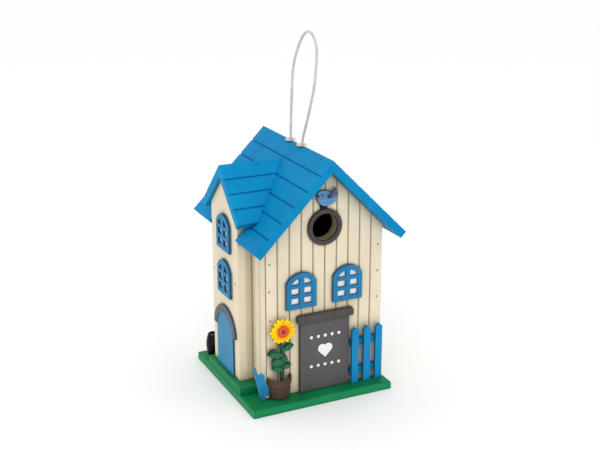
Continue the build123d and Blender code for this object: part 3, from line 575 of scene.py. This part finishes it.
def petal_layer(name, tip, width, depth, start):
    """A ring of cupped petals, each a grid drawn to a point.

    tip is the radius that the longest petals reach, depth the ring's place along Y, and
    start the share of a petal by which the ring is turned.
    """
    shaping = bmesh.new()
    for i in range(PETALS):
        reach = tip * (1 - PETAL_UNEVEN * ((i * 7) % 5) / 4) - PETAL_ROOT
        turn = 2 * pi / PETALS * (i + start) + PETAL_SWAY * (((i * 5) % 3) - 1)
        petal = bmesh.ops.create_grid(shaping, x_segments=7, y_segments=4, size=0.5)["verts"]
        for vert in petal:
            out, across = vert.co.x + 0.5, vert.co.y * 2
            full = sin(pi * min(1, 0.22 + 0.78 * out)) ** 0.5 if out < 1 else 0
            cup = PETAL_CUP * (1 - across ** 2) * full
            vert.co.x = PETAL_ROOT + reach * out
            vert.co.y = across * full * width / 2
            vert.co.z = cup + PETAL_BEND * sin(pi * out * 0.8) + PETAL_STEP * (i % 2)
        bmesh.ops.rotate(shaping, verts=petal, cent=(0, 0, 0),
                         matrix=Matrix.Rotation(turn, 3, "Z"))
    petals = blades_to_piece(name, shaping, (HEAD_X, depth, HEAD_Z), PETAL_THICK)
    smooth = petals.modifiers.new("smooth", "SUBSURF")
    smooth.levels = smooth.render_levels = 1
    petals.data.shade_smooth()
    return petals


# Each leaf has a raised midrib, on top of the stem's flat cut-out.  LEAVES has each
# one's root, tip and width.
LEAF_FACE = -0.0738
LEAF_RIB = 0.0011
LEAF_STEP = 0.0004
LEAF_THICK = 0.0008
LEAVES = [
    ((-0.0458, 0.0698), (-0.0318, 0.0748), 0.0062),
    ((-0.0458, 0.0640), (-0.0640, 0.0676), 0.0070),
    ((-0.0465, 0.0552), (-0.0592, 0.0560), 0.0088),
    ((-0.0468, 0.0462), (-0.0590, 0.0484), 0.0062),
    ((-0.0450, 0.0628), (-0.0402, 0.0548), 0.0060),
    ((-0.0448, 0.0480), (-0.0355, 0.0505), 0.0056),
]
shaping = bmesh.new()
for i, ((root_x, root_z), (tip_x, tip_z), width) in enumerate(LEAVES):
    reach = Vector((tip_x - root_x, tip_z - root_z))
    leaf = bmesh.ops.create_grid(shaping, x_segments=9, y_segments=4, size=0.5)["verts"]
    for vert in leaf:
        out, across = vert.co.x + 0.5, vert.co.y * 2
        full = sin(pi * min(1, 0.06 + 0.94 * out)) ** 0.8 if out < 1 else 0
        vert.co.x = reach.length * out
        vert.co.y = across * full * width / 2
        vert.co.z = LEAF_RIB * (1 - abs(across)) * full + LEAF_STEP * (i % 2)
    bmesh.ops.rotate(shaping, verts=leaf, cent=(0, 0, 0),
                     matrix=Matrix.Rotation(reach.angle_signed(Vector((1, 0))), 3, "Z"))
    bmesh.ops.translate(shaping, verts=leaf, vec=(root_x, root_z, 0))
leaf_blades = blades_to_piece("leaf_blades", shaping, (0, LEAF_FACE, 0), LEAF_THICK)
# Dark green painted shade where the leaves meet the stem and one another.
blade_green = painted_wood("blade green", shade(40, 102, 72), "z", shade(78, 140, 106),
                           0.5, 0.18, 0.5, shadow_tint=shade(8, 40, 26), shadow_amount=0.9, ease=0.0002)
coat(leaf_blades, blade_green)
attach(leaf_blades, "house")

# Orange painted shade between the petals and round the disc.
petal_yellow = painted_wood("petal yellow", shade(255, 214, 0), "z", None, 0.5, 0.04,
                            shadow_tint=shade(176, 84, 0), shadow_amount=0.6, ease=0.0002,
                            over=[petal_colours])
outer_petals = petal_layer("outer_petals", 0.0172, 0.0062, -0.0738, 0)
inner_petals = petal_layer("inner_petals", 0.0142, 0.0052, -0.0748, 0.5)
for petals in (outer_petals, inner_petals):
    coat(petals, petal_yellow)
    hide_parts("sunflower_petals")
    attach(petals, "house")
disc_red = painted_wood("disc red", shade(226, 84, 40), "z", None, 0.5, 0.08,
                        over=[disc_colours])
coat(nodes["sunflower_disc"], disc_red)


# ----------------------------------------------------------------------------- birds
# Plywood cut-outs with brushed paint and sawn sides.  One perches on the ring, its sides
# dark in paint and painted shade, and the other pecks, head down, by the corner.
NAVY = shade(20, 36, 62)
EYE_X, EYE_Z = 0.0054, 0.2494
EYE_RING = 0.0017
EYE_OVAL = (0.8, 0, 1.2)


def eye_ring(paint, base):
    """A thin painted line round the bird's eye."""
    radius = paint.from_axis(EYE_X, EYE_Z, EYE_OVAL)
    line = radius.above(EYE_RING - 0.0003, EYE_RING)
    line = line * (1 - radius.above(EYE_RING + 0.0002, EYE_RING + 0.0005))
    return paint.mix(line * 0.6, base, shade(50, 88, 124))


# The sawn sides are dark paint and painted shade.
bird_blue = painted_wood("bird blue", shade(98, 152, 194), "x", shade(140, 184, 216),
                         0.5, 0.18, 0.8,
                         over=[eye_ring, sides(TO_FRONT, shade(44, 78, 114))])
coat(nodes["bird_body"], bird_blue)

WING_ROOT = Vector((0.0118, 0, 0.2464))
WING_TIP = Vector((0.0199, 0, 0.2575))


def leading_edge(paint, base):
    """Navy along the wing's front edge, wider at its tip and root."""
    lead = (WING_TIP - WING_ROOT).normalized()
    apart = paint.vector("SUBTRACT", paint.place, tuple(WING_ROOT))
    inwards = paint.vector("DOT_PRODUCT", apart, (lead.z, 0, -lead.x), "Value")
    along = paint.vector("DOT_PRODUCT", apart, tuple(lead), "Value")
    ragged = inwards + paint.noise(paint.place, 600, 2) * 0.001
    base = paint.mix(along.above(0.0105, 0.013) * 0.8, base, NAVY)
    base = paint.mix((1 - along.above(0.002, 0.004)) * 0.6, base, NAVY)
    return paint.mix(1 - ragged.above(0.0008, 0.0018), base, NAVY)


wing_purple = painted_wood("wing purple", shade(106, 88, 132), "z", None, 0.5, 0.16, 0.4,
                           over=[leading_edge, sides(TO_FRONT, NAVY)])
coat(nodes["bird_wing"], wing_purple)
black_paint = painted_wood("black paint", shade(22, 22, 24), "x", None, 0.4, 0.05)
coat(nodes["bird_beak_and_eye"], black_paint)
coat(nodes["bird_feet"], black_paint)
pecking_blue = painted_wood("pecking bird blue", shade(34, 128, 178), "z",
                            shade(104, 172, 208), 0.5, 0.16, 0.7, ease=0.0009,
                            over=[sides(TO_FRONT, shade(70, 146, 184))])
coat(nodes["pecking_bird"], pecking_blue)
beak_gold = painted_wood("beak gold", shade(190, 185, 150), "z", None, 0.45, 0.05)
coat(nodes["pecking_bird_beak"], beak_gold)


# ----------------------------------------------------------------------- rain barrel
# A small barrel, turned from one piece of wood with a sunk top, in glossy black paint.
# It stands on the base and is glued down.
barrel_black = Finish("barrel black", roughness=0.2, coat_weight=0.12,
                      coat_roughness=0.08, specular_ior_level=0.1)
marks = barrel_black.noise(barrel_black.place, 160, 3)
barrel_black.feed(
    Base_Color=barrel_black.mix(marks.above(0.4, 0.7), shade(3, 3, 4), shade(10, 10, 11)),
    Roughness=marks * 0.2 + 0.10,
)
coat(nodes["rain_barrel"], barrel_black)


# ---------------------------------------------------------------------------- studio
# A seamless floor of pale paper in an even white room, with one broad soft light high
# on the left.  They show the house, and none of them is a part of it.
FLOOR_HALF = 6
FLOOR_WHITE = (0.98, 0.98, 0.98, 1)
LIGHT_AIM = Vector((0, 0, 0.18))

shaping = bmesh.new()
bmesh.ops.create_grid(shaping, x_segments=1, y_segments=1, size=FLOOR_HALF)
floor = new_piece("floor", shaping)
floor_paper = Finish("floor paper", roughness=0.9, base_color=FLOOR_WHITE,
                     specular_ior_level=0.0)
coat(floor, floor_paper)

world = bpy.data.worlds.new("room")
bpy.context.scene.world = world
world.use_nodes = True
room_light = world.node_tree.nodes["Background"].inputs
room_light["Color"].default_value = (1, 1, 1, 1)
room_light["Strength"].default_value = 1.0


def softbox(name, where, size, power):
    """A square area light that points at the middle of the house."""
    lamp = bpy.data.lights.new(name, "AREA")
    lamp.shape = "SQUARE"
    lamp.size = size
    lamp.energy = power
    light = bpy.data.objects.new(name, lamp)
    bpy.context.scene.collection.objects.link(light)
    light.location = where
    light.rotation_euler = (Vector(where) - LIGHT_AIM).to_track_quat("Z", "Y").to_euler()


softbox("key", (-0.9, -1.6, 1.7), 1.2, 9)
bpy.context.scene.view_settings.view_transform = "Standard"
